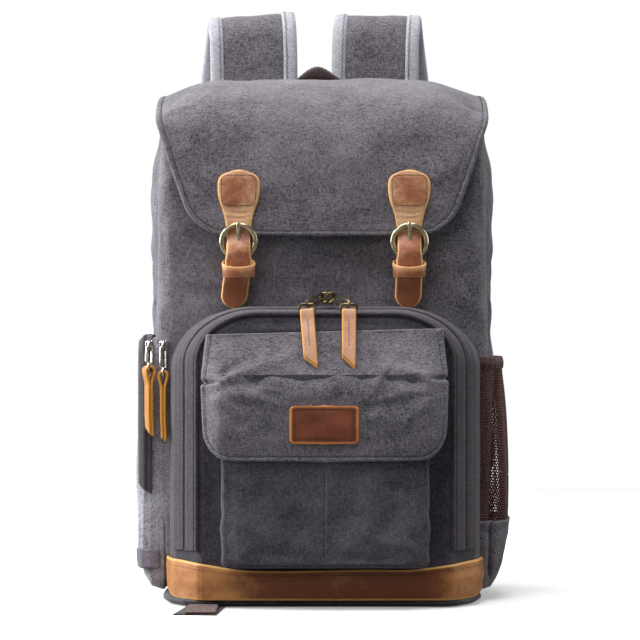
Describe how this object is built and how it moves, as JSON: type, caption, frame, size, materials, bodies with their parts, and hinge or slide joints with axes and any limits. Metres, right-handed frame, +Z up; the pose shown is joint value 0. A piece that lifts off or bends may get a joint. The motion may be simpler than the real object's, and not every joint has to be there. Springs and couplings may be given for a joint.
{
  "type": "camera backpack",
  "caption": "Waxed canvas camera backpack with a buckled top flap, zipped front pocket under a small flap pocket, side pockets, leather trim and padded shoulder straps.",
  "frame": {"origin": "middle of the flat underside of the bag's base", "axes": "+X to the right as seen from the front, +Y towards the back panel and shoulder straps, +Z up"},
  "size_m": [0.313, 0.3015, 0.5058],
  "materials": {
    "canvas": "charcoal grey waxed canvas with a faint mauve tint",
    "lining": "darker grey plain cloth over foam",
    "tape": "mauve grey woven tape",
    "binding": "light grey ribbed binding tape",
    "tan_leather": "oiled tan leather with raw edges",
    "base_leather": "oiled golden brown leather",
    "pale_leather": "pale tan leather with golden raw edges",
    "brown_webbing": "dark brown woven webbing",
    "net": "dark brown spacer net",
    "black_fabric": "black woven fabric",
    "black_plastic": "moulded black plastic",
    "pale_brass": "polished pale brass",
    "aged_brass": "dark antique brass",
    "nickel": "polished nickel"
  },
  "bodies": {
    "root": {"body_shell": "canvas", "top_flap": "canvas", "front_pocket": "canvas", "front_zip_tape": "tape", "front_zip_coil": "tape", "front_piping": "tape", "leather_base_band": "base_leather", "base_pad": "lining", "small_pocket": "canvas", "small_flap": "canvas", "leather_patch": "tan_leather", "side_pocket": "canvas", "side_zip_tape": "tape", "side_pocket_band": "tape", "net_pocket": "net", "net_pocket_foot": "canvas", "net_pocket_binding": "brown_webbing", "buckle_tongue_left": "tan_leather", "buckle_ring_left": "pale_brass", "buckle_prong_left": "pale_brass", "buckle_strap_left": "tan_leather", "keeper_loop_left": "tan_leather", "buckle_tongue_right": "tan_leather", "buckle_ring_right": "pale_brass", "buckle_prong_right": "pale_brass", "buckle_strap_right": "tan_leather", "keeper_loop_right": "tan_leather", "front_pull_left": "pale_leather", "front_pull_chain_left": "aged_brass", "front_pull_right": "pale_leather", "front_pull_chain_right": "aged_brass", "side_pull_outer": "pale_leather", "side_pull_chain_outer": "nickel", "side_pull_inner": "pale_leather", "side_pull_chain_inner": "nickel", "shoulder_strap_left": "canvas", "strap_binding_left_outer": "binding", "strap_binding_left_inner": "binding", "strap_ladder_left": "black_plastic", "strap_loop_left": "brown_webbing", "strap_webbing_left": "brown_webbing", "strap_tab_left": "black_fabric", "shoulder_strap_right": "canvas", "strap_binding_right_outer": "binding", "strap_binding_right_inner": "binding", "strap_ladder_right": "black_plastic", "strap_loop_right": "brown_webbing", "strap_webbing_right": "brown_webbing", "strap_tab_right": "black_fabric", "back_pad": "lining", "strap_yoke": "canvas", "carry_handle": "brown_webbing", "floor_tab": "black_fabric", "floor_tab_webbing": "brown_webbing"}
  },
  "joints": []
}
